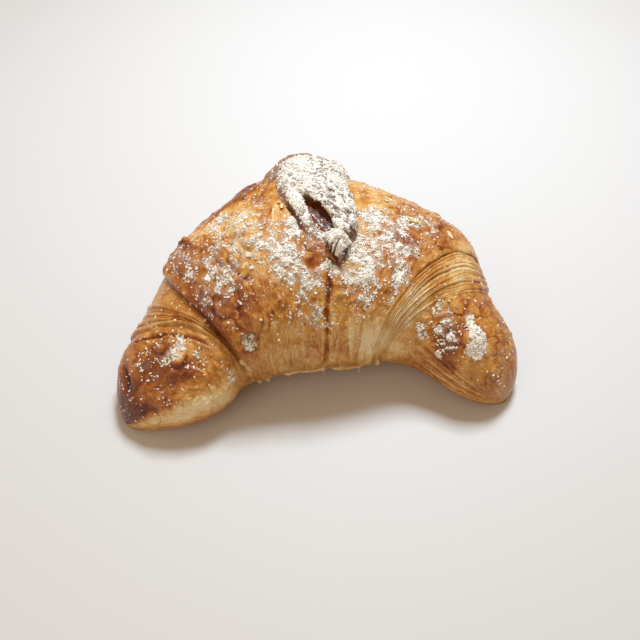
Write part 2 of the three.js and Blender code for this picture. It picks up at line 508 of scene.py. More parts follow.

# %% [markdown]
# ## Browning and sugar, as painted coats
# Two things vary from place to place: how brown the crust baked, and how much sugar fell there.
# In places the brown number also carries painted shade and painted highlight.
# Both are kept as numbers on the mesh, so the materials read them on any side and at any angle.
# Each is a base value plus soft patches, warped by noise so that no patch has a tidy outline.

# %% Coats
# at, angle in degrees, reach along in shares and round in degrees, amount
BROWN_BASE = 0.43
BROWN_PATCHES = [
    (0.000, 90, 0.035, 70, 0.44),
    (0.075, 98, 0.045, 26, 0.24),
    (0.110, 122, 0.035, 12, 0.22),
    (0.045, 128, 0.050, 14, 0.12),
    (0.050, 162, 0.090, 15, -0.24),
    (0.130, 165, 0.060, 16, -0.20),
    (0.145, 100, 0.022, 18, -0.10),
    (0.185, 75, 0.016, 50, -0.04),
    (0.190, 118, 0.018, 14, -0.16),
    (0.228, 112, 0.020, 36, 0.14),
    (0.255, 128, 0.040, 22, 0.02),
    (0.310, 128, 0.022, 12, 0.14),
    (0.240, 68, 0.030, 30, 0.12),
    (0.275, 118, 0.014, 8, 0.14),
    (0.270, 50, 0.012, 12, 0.30),
    (0.310, 52, 0.022, 14, -0.22),
    (0.370, 84, 0.050, 26, -0.22),
    (0.415, 84, 0.030, 22, 0.16),
    (0.430, 104, 0.045, 18, -0.06),
    (0.350, 70, 0.030, 4, 0.22),
    (0.470, 160, 0.120, 26, -0.04),
    (0.610, 164, 0.040, 14, 0.07),
    (0.025, 153, 0.020, 12, -0.22),
    (0.155, 180, 0.030, 10, -0.16),
    (0.576, 180, 0.026, 9, -0.12),
    (0.681, 93, 0.018, 8, 0.14),
    # these three are painted shadow: under the knob and along the top of the crease
    (0.518, 121, 0.016, 5, 0.20),
    (0.559, 119, 0.018, 4, 0.30),
    (0.558, 132, 0.009, 10, 0.22),
    (0.600, 66, 0.030, 26, -0.12),
    (0.640, 100, 0.040, 20, 0.12),
    (0.600, 108, 0.024, 18, -0.12),
    (0.650, 74, 0.020, 4, 0.20),
    (0.695, 84, 0.026, 22, 0.06),
    (0.690, 112, 0.026, 18, 0.10),
    (0.730, 70, 0.028, 22, 0.10),
    (0.650, 152, 0.060, 18, -0.20),
    (0.700, 168, 0.090, 16, -0.24),
    (0.800, 80, 0.035, 40, -0.20),
    (0.750, 128, 0.040, 16, -0.28),
    (0.735, 146, 0.040, 12, -0.26),
    (0.050, 130, 0.030, 10, 0.04),
    (0.290, 149, 0.015, 5, 0.40),
    (0.112, 108, 0.013, 5, -0.34),
    (0.855, 130, 0.036, 16, 0.36),
    (0.880, 148, 0.030, 8, 0.20),
    (0.955, 104, 0.030, 26, -0.16),
    (0.985, 110, 0.030, 60, 0.04),
]
SUGAR_BASE = 0.12
SUGAR_PATCHES = [
    (0.015, 80, 0.020, 40, 0.08),
    (0.065, 88, 0.030, 16, 0.13),
    (0.108, 101, 0.018, 7, 0.32),
    (0.110, 84, 0.016, 5, 0.22),
    (0.130, 118, 0.020, 8, 0.14),
    (0.190, 162, 0.022, 10, 0.30),
    (0.245, 76, 0.036, 34, 0.20),
    (0.285, 90, 0.022, 9, 0.28),
    (0.262, 112, 0.040, 14, 0.24),
    (0.290, 148, 0.024, 6, 0.50),
    (0.350, 98, 0.060, 28, 0.26),
    (0.700, 80, 0.032, 16, 0.20),
    (0.135, 98, 0.014, 10, 0.22),
    (0.400, 76, 0.040, 12, 0.16),
    (0.335, 66, 0.020, 10, 0.34),
    (0.430, 104, 0.040, 12, 0.30),
    (0.462, 119, 0.040, 11, 0.50),
    (0.520, 146, 0.060, 10, 0.12),
    (0.600, 120, 0.030, 12, 0.24),
    (0.560, 140, 0.150, 20, 0.08),
    (0.490, 118, 0.130, 26, 0.08),
    (0.555, 124, 0.025, 4, 0.35),
    (0.640, 66, 0.060, 20, 0.14),
    (0.480, 100, 0.020, 12, 0.37),
    (0.510, 130, 0.030, 8, 0.36),
    (0.465, 168, 0.010, 2.5, 0.60),
    (0.610, 84, 0.024, 8, 0.44),
    (0.650, 96, 0.038, 12, 0.39),
    (0.625, 112, 0.045, 14, 0.30),
    (0.692, 114, 0.020, 18, 0.45),
    (0.590, 100, 0.020, 14, 0.36),
    (0.665, 78, 0.016, 5, 0.50),
    (0.735, 134, 0.030, 12, 0.24),
    (0.884, 97, 0.022, 5, 0.70),
    (0.908, 102, 0.018, 6, 1.0),
    (0.916, 114, 0.013, 10, 0.95),
    (0.830, 122, 0.040, 14, 0.26),
    (0.632, 128, 0.030, 11, 0.26),
    (0.535, 150, 0.030, 12, 0.14),
    # less sugar here, so the painted shadow under the knob shows dark
    (0.516, 120, 0.016, 5, -0.40),
    (0.681, 92, 0.014, 6, -0.26),
    (0.470, 118, 0.010, 5, -0.14),
    (0.862, 150, 0.010, 5, 0.62),
    (0.800, 146, 0.018, 6, 0.44),
    (0.860, 130, 0.035, 14, 0.17),
]
print("the browning has", len(BROWN_PATCHES), "patches and the sugar", len(SUGAR_PATCHES))


# %% Browning and sugar at each place
BELLY_RADIUS = 45  # millimetres, about the roll's own at the belly
FINE_WIDTH = 1.1  # millimetres along the roll
FINE_LENGTH = 3.2  # and round it

def browning(at, angle, points):
    """How brown the crust is, from 0 for raw cream to 1 for nearly black."""
    mottle = 0.15 * rough(points, 8, seed=33) + 0.12 * rough(points, 3.0, seed=34)
    under = 0.12 * ease(-np.sin(angle), 0.1, 0.8)
    drawn = np.stack([at * ROLL_LENGTH / FINE_WIDTH, angle * BELLY_RADIUS / FINE_LENGTH, 0 * at], -1)
    fine = noise(drawn, 1, seed=35)
    mottle = mottle + 0.03 * fine + 0.15 * blister_rims(points)
    return patched(BROWN_BASE, BROWN_PATCHES, at, angle, points) + mottle + under


def sugaring(at, angle, points):
    """How much sugar lies there, from none (0) to all covered (1). Little stays where the skin is steep."""
    falls = ease(np.sin(angle), -0.15, 0.45)
    amount = patched(SUGAR_BASE, SUGAR_PATCHES, at, angle, points)
    broken = 0.55 * rough(points, 2.3, seed=36, octaves=2) * ease(amount, 0.15, 0.45)
    return np.clip(amount + broken, 0, 1) * falls


top_line = np.linspace(0.05, 0.95, 200), np.full(200, math.pi / 2)
top_coat = sugaring(*top_line, crescent(*top_line, SKIN_LIFT))
print("sugar covers", round(100 * float(top_coat.mean())), "% of a line along the top")

# %% [markdown]
# ## The two arms
# An arm is a tip and, above it, the band where the leaves show. The leaves are drawn as real steps:
# the band is cut into strips that follow its two slanting edges, and each strip is a rounded ridge
# with a sharp gap behind it. Real leaves bend, merge and fade, so noise that is stretched along the
# strips bends them and makes each one come and go. An arm ends inside the outer wrap, out of sight.


# %% Leaves
def leaves(share, along, count, first, last, seed):
    """The height of count leaves between the shares first and last of a band, the gaps between them, which
    are also painted as shade, and a random tone for each leaf.

    along is how far round the roll each point is, in millimetres.
    """
    flat = np.stack([share * 60, along, 0 * along], -1)
    bend = 0.55 * noise(flat / (14, 22, 1), 1, seed) + 0.3 * noise(flat / (5, 8, 1), 1, seed + 1)
    phase = (share - first) / (last - first) * count + bend
    leaf = np.floor(phase)
    f = phase - leaf
    present = 0.4 + 0.6 * ease(noise(flat / (60 / count, 13, 1), 1, seed + 2), -0.45, 0.3)
    bold = 0.4 + 0.6 * (scrambled((leaf + 50 + seed).astype(np.uint32) * LATTICE[0]) > -0.1)
    inside = ease(share, first - 0.02, first + 0.02) * (1 - ease(share, last - 0.02, last + 0.06))
    ridge = np.sqrt(np.clip(1 - (1 - np.minimum(f / 0.75, 1)) ** 2, 0, 1)) * (1 - ease(f, 0.78, 1.0))
    gap = 1 - ease(f, 0.0, 0.16) * (1 - ease(f, 0.84, 1.0))
    shade = scrambled((leaf + 90 + seed).astype(np.uint32) * LATTICE[1])
    return ridge * inside * present * bold, gap * inside * present * bold, shade * inside


_, gap, _ = leaves(np.linspace(0, 1, 500), np.zeros(500), 7, 0, 1, seed=41)
print("across seven leaves,", round(100 * float((gap > 0.5).mean())), "% is a dark gap")

# %% [markdown]
# ## How open each edge is
# An edge that lifted in the oven stands over a dark gap, and one that the dough grew over is only a
# faint seam. Both happen on one edge: the wrap's edges stand open over the top of the roll and heal
# towards the front, where the dough rose into the hollow of the crescent.


# %% How open each edge is
def openness(name, angle):
    """1 where the edge stands open and 0 where it has healed."""
    degrees = np.degrees(angle)
    if name == "left wrap":
        return 0.85 - 0.75 * ease(degrees, 128, 160)
    return 0.55 - 0.48 * ease(degrees, 92, 124)


print("over the top, the left edge is open by", round(float(openness("left wrap", math.pi / 2)), 2))

# %% Rows of an arm
ARM_COLUMNS = 230
TIP_ROWS = 190
BAND_ROWS = 120
TUCK_ROWS = 14  # rows that are hidden under the outer wrap, with the closed end
TUCK = 0.045


def arm_rows(tip, tip_edge, wrap_edge):
    """The place and the angle of each point of an arm, and how much of the tip, of the band and of the tuck
    each row has behind it."""
    angle = angles(ARM_COLUMNS)
    inner = edge_at(tip_edge, angle)
    outer = edge_at(wrap_edge, angle)
    r = np.arange(TIP_ROWS + BAND_ROWS + TUCK_ROWS + 1)[:, None]
    tip_share = np.clip(r / TIP_ROWS, 0, 1) ** 1.5
    band_share = np.clip((r - TIP_ROWS) / BAND_ROWS, 0, 1)
    tuck_share = np.clip((r - TIP_ROWS - BAND_ROWS) / TUCK_ROWS, 0, 1)
    inwards = 1 if tip == 0 else -1
    at = tip + (inner - tip) * tip_share + (outer - inner) * band_share + inwards * TUCK * tuck_share
    return at, np.broadcast_to(angle, at.shape), tip_share, band_share, tuck_share


def closed_by(points, share):
    """Draws rows of points together to their own middle as share goes from 0 to 1."""
    closing = np.sqrt(np.clip(1 - share, 0, 1))[..., None]
    return points.mean(1, keepdims=True) * (1 - closing) + points * closing


print("an arm has", TIP_ROWS + BAND_ROWS + TUCK_ROWS, "rows and", ARM_COLUMNS, "columns")


# %% Each tip's own details
def left_tip_relief(at, angle, points):
    """A second, smaller edge just before the tip's own, a slit by its end, and pulled skin low on the front.

    Gives the lift in millimetres and what it adds to the browning: painted shade in the groove and the
    slit, and a little tone on the pulled skin.
    """
    degrees = np.degrees(angle)
    across_slit = (at - 0.042 + 0.0004 * (degrees - 68) + 0.003 * noise(points, 3, seed=48)) / 0.006
    slit = np.exp(-(across_slit**2)) * ease(degrees, 44, 56) * (1 - ease(degrees, 80, 92))
    before = (edge_at("left tip", angle) - 0.022 - at) / 0.0035 + 0.8 * noise(points, 5, seed=45)
    groove = np.exp(-(before**2)) * ease(degrees, 35, 60) * (1 - ease(degrees, 112, 135))
    skin = ease(degrees, 140, 156) * noise(np.stack([at * 8, degrees / 3, 0 * at], -1), 1, seed=46)
    # browner in the groove and the slit: painted shade
    return -0.7 * groove + 0.25 * skin - 1.8 * slit, 0.3 * groove + 0.05 * skin + 0.4 * slit


def right_tip_relief(at, angle, points):
    """Leaves that run along the tip low on its front, where it is also drawn in a little.

    Gives the lift in millimetres and what it adds to the browning: the raised leaves paler, as painted
    highlight, and the hollows between them darker, as painted shade.
    """
    degrees = np.degrees(angle)
    drawn_in = 0.8 * ease(degrees, 118, 150) * ease(at, 0.74, 0.84)
    low_front = ease(degrees, 144, 154) * ease(at, 0.78, 0.84)
    lines = noise(np.stack([at * 14, degrees / 2.6, 0 * at], -1), 1, seed=47)
    # paler on the raised leaves (painted highlight) and darker between them (painted shade)
    return 0.5 * lines * low_front - drawn_in, -0.22 * lines * low_front


RIGHT_TIP_IN = 1.6  # millimetres by which the right tip is drawn in low down, all round


def right_tip_drawn_in(points, at, degrees):
    """Moves the low part of the right tip towards the middle of the roll."""
    amount = RIGHT_TIP_IN * ease(degrees, 135, 180) * (1 - ease(degrees, 225, 250)) * ease(at, 0.76, 0.86)
    to_middle = points.mean(1, keepdims=True) - points
    far = np.linalg.norm(to_middle[..., :2], axis=-1, keepdims=True)
    points[..., :2] += to_middle[..., :2] / np.maximum(far, 1) * amount[..., None]
    return points


print("low down, the right tip is drawn in by up to", RIGHT_TIP_IN, "mm")

# %% Arms
LEAF_HEIGHT = 0.95  # millimetres
FLUSH_LIFT = 1.1  # the band's lift by the wrap's edge, where that edge has healed
OPEN_LIFT = -0.6  # and where it stands open
TUCK_DEPTH = 2.5
BAND_RADIUS = 30  # millimetres, about the roll's own at the two bands


def arm(name, tip, tip_edge, wrap_edge, tip_lifts, leaf_count, leaf_reach, gap_shade, extra_relief):
    """One arm as a closed skin from its tip (0 or 1) to under the outer wrap."""
    at, angle, tip_share, band_share, tuck_share = arm_rows(tip, tip_edge, wrap_edge)
    degrees = np.degrees(angle)
    plain = crescent(at, angle, 0.5 + 0 * at)
    stands = openness(wrap_edge, angle)
    band_end = FLUSH_LIFT + (OPEN_LIFT - FLUSH_LIFT) * stands
    band_start = tip_lifts[-1] + 0.5
    on_tip = through(np.array(tip_lifts)[:, None], tip_share)[..., 0]
    lift = np.where(band_share == 0, on_tip, band_start + (band_end - band_start) * band_share**1.6)

    in_band = ease(band_share, 0, 0.03)
    along = angle * BAND_RADIUS
    ridge, gap, shade = leaves(band_share + 0 * at, along, leaf_count, *leaf_reach, seed=41 + tip)
    shown = in_band * (0.35 + 0.65 * ease(-degrees, -168, -140))
    lift = lift + crust_relief(plain) * (1 - 0.65 * in_band) + LEAF_HEIGHT * (ridge - 0.4 * gap) * shown
    extra, extra_brown = extra_relief(at, angle, plain)
    plates, rim, foot = torn_leaves(at, angle, plain)
    lift = lift + plates * (1 - in_band) + extra - TUCK_DEPTH * ease(tuck_share, 0.1, 0.5)
    points = crescent(at, angle, lift)
    if tip == 1:
        points = right_tip_drawn_in(points, at, degrees)
    points = closed_by(points, ease(tuck_share, 0.45, 1))

    # painted shade where the band runs under the wrap's open edge, and in the hidden tuck
    tucked = ease(tuck_share, 0, 0.1) + ease(band_share, 0.93, 1) * stands**2
    grain = pulled(at, angle)
    # brown: paler on the leaves' ridges and the torn rims (painted highlight), darker in the gaps and at the
    # feet (painted shade); the third coat is painted shade in the gaps and under the wrap's edge
    coats = {
        "brown": browning(at, angle, plain) + shown * (0.08 * shade + 0.34 * gap - 0.16 * ridge) + extra_brown
        + (0.16 * foot - 0.2 * rim) * (1 - in_band),
        "sugar": sugaring(at, angle, plain) * (1 - 0.35 * in_band),
        "crease": np.clip(gap_shade * gap * shown + 0.8 * tucked, 0, 1),
    }
    if tip == 1:  # these rows run from right to left, so the columns turn round to keep the faces outwards
        points = points[:, ::-1]
        grain = grain[:, ::-1]
        coats = {key: value[:, ::-1] for key, value in coats.items()}
    piece, row, column = sphere(name, TIP_ROWS + BAND_ROWS + TUCK_ROWS, ARM_COLUMNS)
    lay(piece, row, column, points)
    paint(piece, row, column, grain, **coats)
    print(name, "has", len(piece.data.polygons), "faces")
    return piece


left_arm = arm(
    "left_arm", 0, "left tip", "left wrap", tip_lifts=[0.5, 1.3, 1.1, 0.2], leaf_count=7,
    leaf_reach=(-0.02, 0.5), gap_shade=0.72, extra_relief=left_tip_relief,
)
right_arm = arm(
    "right_arm", 1, "right tip", "right wrap", tip_lifts=[0.4, 0.9, 0.8, 0.2], leaf_count=11,
    leaf_reach=(-0.05, 0.99), gap_shade=0.5, extra_relief=right_tip_relief,
)

# %% [markdown]
# ## The outer wrap
# The last turn of the dough is the broad belly between the two edges. It is a closed skin of its
# own whose two ends curl under in a thick rounded lip, so that a real dark gap stays between the
# lip and the arm below it. Behind each lip a few rows run on inwards and close the skin out of
# sight.

# %% Rows of the wrap
WRAP_ROWS = 330
WRAP_COLUMNS = 300
LIP_ROWS = 12
UNDER_ROWS = 5
UNDER_REACH = 0.03
LEFT_LIP = 1.2  # the lip's radius in millimetres where the edge stands open
RIGHT_LIP = 1.1
HEALED_LIP = 0.2

angle = angles(WRAP_COLUMNS)
left = edge_at("left wrap", angle)
right = edge_at("right wrap", angle)
end_rows = UNDER_ROWS + LIP_ROWS
r = np.arange(WRAP_ROWS + 1)[:, None]
from_end = np.minimum(r, WRAP_ROWS - r)
on_left = r < WRAP_ROWS / 2
inwards = np.where(on_left, 1, -1)
stands = np.where(on_left, openness("left wrap", angle), openness("right wrap", angle))
radius = HEALED_LIP + (np.where(on_left, LEFT_LIP, RIGHT_LIP) - HEALED_LIP) * stands
under_share = np.clip(1 - from_end / UNDER_ROWS, 0, 1)
lip_share = np.clip((from_end - UNDER_ROWS) / LIP_ROWS, 0, 1)
lip_turn = math.pi * (lip_share - 0.5)
reach = radius * np.cos(lip_turn) / ROLL_LENGTH
rise = radius * (np.sin(lip_turn) - 1)
lip_centre = radius / ROLL_LENGTH
at_end = np.where(on_left, left, right) + inwards * (lip_centre + under_share * UNDER_REACH - reach)
body_share = np.clip((r - end_rows) / (WRAP_ROWS - 2 * end_rows), 0, 1)
body_start = left + lip_centre[0]
body_end = right - lip_centre[-1]
at = np.where(from_end <= end_rows, at_end, body_start + (body_end - body_start) * body_share)
angle = np.broadcast_to(angle, at.shape)
degrees = np.degrees(angle)
plain = crescent(at, angle, SKIN_LIFT + 0 * at)
print("the wrap runs from", left.min().round(3), "to", right.max().round(3), "of the way between the tips")

# %% [markdown]
# A crease runs down the wrap's front, where the roll was bent into a crescent. The dough beside it
# bulges, and further off it is pulled into soft folds. Both fade out over the top and under the
# belly.

# %% The crease and the folds
CREASE_AT = 0.557
CREASE_HALF_WIDTH = 0.0052
CREASE_DEPTH = 1.9  # millimetres, as are the next three
BULGE_HEIGHT = 0.6
FOLD_HEIGHT = 0.3
FOLD_WIDTH = 3.4

off_crease = (at - CREASE_AT - 0.006 * noise(plain, 7, seed=51)) / CREASE_HALF_WIDTH
round_front = ease(degrees, 116, 128) * (1 - ease(degrees, 172, 192))
# the crease sinks the skin, and the same mask paints shade in it
crease = np.exp(-(off_crease**2)) * round_front * (0.55 + 0.45 * noise(plain, 5, seed=53))
beside = np.exp(-((np.abs(off_crease) - 2.2) ** 2)) * round_front
folds = noise(np.stack([at * ROLL_LENGTH / FOLD_WIDTH, degrees / 45, 0 * at], -1), 1, seed=52)
folds = folds * ease(degrees, 122, 150) * (0.4 + np.exp(-(((at - CREASE_AT) / 0.09) ** 2)))
print("the crease is", round(2 * CREASE_HALF_WIDTH * ROLL_LENGTH, 1), "mm wide")

# %% [markdown]
# The outermost leaf of the wrap is torn. A dark piece of it is left over the left edge, and ends in
# a step along a ragged line. A brown strip of it lies at the back by the top.

# %% The torn outermost leaf
# angle in degrees, and where the dark outermost leaf on the left of the wrap was torn off
TORN_OFF_AT = np.array([
    (20, 0.270), (50, 0.272), (68, 0.278), (84, 0.300), (94, 0.310), (107, 0.318), (120, 0.343),
    (132, 0.349), (144, 0.344), (154, 0.303), (166, 0.285),
])
TORN_OFF_STEP = 0.7  # millimetres

torn_at = np.interp(degrees, *TORN_OFF_AT.T) + 0.008 * rough(plain, 5, seed=54, octaves=4)
outermost = ease(torn_at - at, -0.0015, 0.0015) * ease(degrees, 14, 40) * (1 - ease(degrees, 150, 168))
# the foot of the torn step, which is painted as shade below
torn_foot = np.exp(-(((at - torn_at - 0.003) / 0.0035) ** 2))
torn_foot = torn_foot * ease(degrees, 26, 46) * (1 - ease(degrees, 146, 160))
strip = ease(60 + 14 * rough(plain, 6, seed=56) - degrees, 0, 3)
strip = strip * ease(at, 0.295, 0.315) * (1 - ease(at, 0.41, 0.44)) * ease(degrees, 20, 36)
print("the torn leaf is", round(100 * float(outermost.mean())), "% of the wrap")

# %% [markdown]
# Low on the front the skin dried while the dough under it still rose, so it lies in pleats: each
# one is a ridge that is steep on its left and fades to its right. They differ in length, height and
# slant.

# %% Pleats
# where a pleat starts and ends, as at and angle in degrees, and its half width and height in millimetres
PLEATS = [
    (0.381, 150, 0.418, 180, 2.0, 0.9),
    (0.440, 158, 0.446, 192, 1.6, 0.7),
    (0.480, 160, 0.505, 196, 2.0, 0.7),
    (0.545, 150, 0.553, 200, 1.8, 0.8),
    (0.572, 152, 0.592, 190, 1.8, 0.9),
    (0.603, 152, 0.620, 184, 1.7, 1.1),
    (0.640, 150, 0.640, 200, 1.8, 0.8),
    (0.668, 148, 0.690, 186, 2.2, 0.8),
    (0.345, 156, 0.352, 192, 1.8, 0.7),
]


def pleats(at, degrees, points):
    """The height of the pleats in millimetres, and where their steep sides stand."""
    total = np.zeros(at.shape)
    foot = np.zeros(at.shape)
    for start, from_angle, end, to_angle, width, height in PLEATS:
        share = (degrees - from_angle) / (to_angle - from_angle)
        middle = start + (end - start) * np.clip(share, -0.1, 1.1) + 0.005 * rough(points, 6, seed=55)
        d = (at - middle) * ROLL_LENGTH / width
        there = ease(share, -0.1, 0.3) * (1 - ease(share, 0.9, 1.2))
        total += height * there * np.where(d < 0, np.exp(-((d / 0.22) ** 2)), np.exp(-((d / 1.1) ** 2)))
        foot += there * np.exp(-(((d + 0.42) / 0.2) ** 2))
    uneven = 0.65 + 0.5 * noise(points, 6, seed=57)
    return total * uneven, np.minimum(foot, 1) * uneven


pleat, pleat_foot = pleats(at, degrees, plain)
print("the highest pleat is", pleat.max().round(2), "mm high")

# %% The outer wrap
WRAP_LIFTS = [1.5, 0.9, 0.6, 0.9, 1.5]  # millimetres, from the left edge to the right one

body_lift = through(np.array(WRAP_LIFTS)[:, None], body_share)[..., 0]
crust = crust_relief(plain) * (0.5 + 0.5 * lip_share) * (1 - 0.15 * ease(degrees, 138, 158))
lift = body_lift + rise + crust - CREASE_DEPTH * crease + BULGE_HEIGHT * beside + FOLD_HEIGHT * folds
plates, rim, foot = torn_leaves(at, angle, plain)
lift = lift + TORN_OFF_STEP * (outermost + 0.8 * strip) + 0.8 * pleat
points = closed_by(crescent(at, angle, lift + plates * lip_share), under_share)

low_front = ease(degrees, 138, 158) * ease(at, 0.31, 0.36)
# browner in the crease and at the feet of the torn leaves and of the torn step (painted shade), paler on the
# torn rims (painted highlight)
brown = browning(at, angle, plain) + 0.55 * crease - 0.1 * folds + 0.16 * foot - 0.2 * rim
brown = brown + 0.05 * outermost + 0.12 * torn_foot - 0.04 * low_front
brown = brown - 0.1 * pleat + 0.1 * pleat_foot + 0.22 * strip
# painted shade: under the lips where the edges stand open, in the crease, at the foot of the torn step and at
# the pleats' feet
dark = (1 - lip_share * 1.4) * stands + 0.7 * crease**2 + 0.4 * torn_foot + 0.2 * pleat_foot

belly, row, column = sphere("outer_wrap", WRAP_ROWS, WRAP_COLUMNS)
lay(belly, row, column, points)
paint(
    belly, row, column, pulled(at, angle),
    brown=brown, sugar=sugaring(at, angle, plain), crease=np.clip(dark, 0, 1),
)
print("outer_wrap has", len(belly.data.polygons), "faces")

# %% [markdown]
# ## The apex of the triangle
# The point of the dough triangle comes over the top of the roll and ends on the front, where it
# baked hard and dark and caught most of the sugar. It is one flap with a relief of its own: a broad
# lobe, a ridge beside it, a glossy valley between the two, and a knob at the point. The flap is a
# closed loft over the crescent, and each form on it is a hill whose left and right foot are written
# for a few angles round the roll. The highest hill wins at each point, so where two meet there is a
# sharp fold, as there is in folded dough.

# %% The tongue's forms
# the flap: angle in degrees, and where its left and right sides are
FLAP = np.array([
    (-28, 0.476, 0.530), (-18, 0.458, 0.550), (-5, 0.449, 0.560), (10, 0.446, 0.563), (30, 0.448, 0.566),
    (44, 0.452, 0.562), (55, 0.453, 0.559), (65, 0.452, 0.564), (72, 0.452, 0.569), (78, 0.455, 0.575),
    (86, 0.465, 0.580), (92, 0.473, 0.587), (98, 0.485, 0.590), (103, 0.494, 0.589), (108, 0.498, 0.586),
    (113, 0.502, 0.584), (115, 0.512, 0.582), (117, 0.530, 0.578), (119.5, 0.554, 0.570),
])
# a hill: angle in degrees, left foot, right foot, height in millimetres
LOBE = np.array([
    (-26, 0.480, 0.526, 0.8), (-15, 0.462, 0.546, 2.0), (5, 0.454, 0.558, 3.6), (30, 0.454, 0.565, 5.6),
    (44, 0.456, 0.561, 6.6), (52, 0.457, 0.558, 6.8), (62, 0.455, 0.564, 6.4), (71, 0.455, 0.570, 5.9),
    (78, 0.462, 0.576, 5.6), (84, 0.488, 0.580, 5.6), (88, 0.514, 0.585, 5.8), (92, 0.530, 0.588, 5.8),
    (97, 0.545, 0.591, 5.6), (102, 0.552, 0.590, 5.2), (106, 0.560, 0.585, 4.2), (108, 0.568, 0.578, 1.0),
])
RIDGE = np.array([
    (62, 0.452, 0.490, 3.6), (74, 0.455, 0.502, 4.4), (82, 0.463, 0.502, 4.6), (88, 0.472, 0.506, 4.5),
    (93, 0.478, 0.515, 4.2), (98, 0.486, 0.524, 3.8), (103, 0.496, 0.532, 3.3), (107, 0.506, 0.543, 2.8),
    (111, 0.520, 0.552, 1.4),
])
KNOB = np.array([
    (103, 0.552, 0.574, 2.0), (106, 0.543, 0.579, 5.6), (109, 0.540, 0.584, 6.8),
    (112.5, 0.544, 0.584, 6.4), (116, 0.553, 0.582, 4.8), (118.6, 0.562, 0.575, 1.5),
])
LUMP = np.array([
    (98, 0.566, 0.588, 5.0), (101, 0.560, 0.592, 6.6), (104, 0.562, 0.590, 6.2), (107, 0.570, 0.584, 3.0),
])


def hill(stations, at, degrees, steepness, points, seed):
    """The height of one hill, in millimetres, with a foot that wavers. A high steepness gives a flat top."""
    at = at + 0.0045 * rough(points, 4, seed, octaves=2)
    left, right, height = (np.interp(degrees, stations[:, 0], stations[:, k]) for k in (1, 2, 3))
    t = np.abs(2 * at - left - right) / (right - left)
    before, after = stations[0, 0], stations[-1, 0]
    return height * np.clip(1 - t**steepness, 0, 1) ** 0.5 * (degrees > before) * (degrees < after)


print("the lobe is up to", LOBE[:, 3].max(), "mm high, and the knob", KNOB[:, 3].max(), "mm")

# %% Rows of the tongue
FLAP_ROWS = 430
FLAP_COLUMNS = 200
FLAP_TOP_SHARE = 0.86  # of the columns; the others close the flap from below
SEEN_ROWS_FROM = 30  # degrees; the rows lie closer from here to the point

row_share = (np.arange(FLAP_ROWS + 1) / FLAP_ROWS)[:, None]
degrees = np.interp(row_share, [0, 0.2, 0.985, 1], [FLAP[0, 0], SEEN_ROWS_FROM, 119, FLAP[-1, 0]])
column_share = np.arange(FLAP_COLUMNS) / FLAP_COLUMNS
across = np.clip(column_share / FLAP_TOP_SHARE, 0, 1)
back = np.clip((column_share - FLAP_TOP_SHARE) / (1 - FLAP_TOP_SHARE), 0, 1)
across = 0.75 * across + 0.25 * (0.5 - 0.5 * np.cos(math.pi * across)) - back
left = np.interp(degrees, FLAP[:, 0], FLAP[:, 1])
right = np.interp(degrees, FLAP[:, 0], FLAP[:, 2])
at = left + (right - left) * across
angle = np.radians(degrees) + 0 * at
degrees = degrees + 0 * at
plain = crescent(at, angle, 2 + 0 * at)
at = at + 0.003 * rough(plain, 4, seed=60) * np.sin(math.pi * across) ** 0.3
print("the tongue is up to", round(float((right - left).max()) * ROLL_LENGTH), "mm wide")

# %% The tongue's relief
FLAP_THICKNESS = 1.7  # millimetres
UNDERSIDE = -0.8  # the lift of the flap's hidden side, just inside the roll

point_end = np.clip((1 - row_share) / 0.03, 0, 1) ** 0.5
rim = np.clip(1 - np.abs(2 * across - 1) ** 9, 0, 1) ** 0.5 * point_end
base = FLAP_THICKNESS * rim
lobe = hill(LOBE, at, degrees, 5, plain, 61)
ridge = hill(RIDGE, at, degrees, 2.4, plain, 62)
knob = hill(KNOB, at, degrees, 2.2, plain, 63)
lump = hill(LUMP, at, degrees, 2.0, plain, 64)
top = np.maximum.reduce([base, lobe, ridge, knob, lump])
raised = ease(top - base, 0.3, 2.0)
puckers = ridged(plain, 3.2, seed=65) * raised
bumps = 0.75 * rough(plain, 6, seed=66) + 0.65 * rough(plain, 2.0, seed=67) - 0.35 * puckers
top = top + raised * (bumps + 0.24 * rough(plain, 0.9, seed=72))
top = top + (1 - raised) * rim * 0.5 * rough(plain, 2.5, seed=68)
print("the tongue stands up to", top.max().round(1), "mm off the roll")

# %% [markdown]
# Two things break the sugar on the tongue: small dark gaps, mostly on its right, that no sugar
# reached, and the wrinkles that run down the knob. Both are sunk a little, and the coats follow
# them: less sugar, and painted shade in both.

# %% The tongue's gaps and wrinkles
knobby = ease(knob - np.maximum(lobe, lump), 0.2, 1.5)
gaps = ease(rough(plain, 1.7, seed=76), 0.05, 0.3) * raised * (0.25 + 0.75 * ease(across, 0.45, 0.7))
gaps = gaps * (1 - knobby)
wrinkles = np.stack([at * ROLL_LENGTH + degrees * 0.3, degrees * 0.12, 0 * at], -1)
wrinkles = ridged(wrinkles, 1.7, seed=77) * knobby * ease(degrees, 107, 112)
top = top - 0.35 * gaps - 0.5 * wrinkles
on_top = back == 0
lift = np.where(on_top, np.maximum(top, -0.4), UNDERSIDE)
print("gaps take up", round(100 * float((gaps > 0.5).mean())), "% of the tongue")

# %% The tongue
OVERHANG = 0.009  # how far the lobe's left side leans out over the valley, as a share from tip to tip

overhang = ease(lobe, 3.0, 5.5) * (1 - ease(across, 0.2, 0.75)) * ease(degrees, 76, 90)
points = crescent(at - OVERHANG * overhang, angle, lift)
points[[0, -1]] = points[[0, -1]].mean(1, keepdims=True)
tongue, row, column = sphere("tongue", FLAP_ROWS, FLAP_COLUMNS)
lay(tongue, row, column, points)
print("tongue has", len(tongue.data.polygons), "faces")

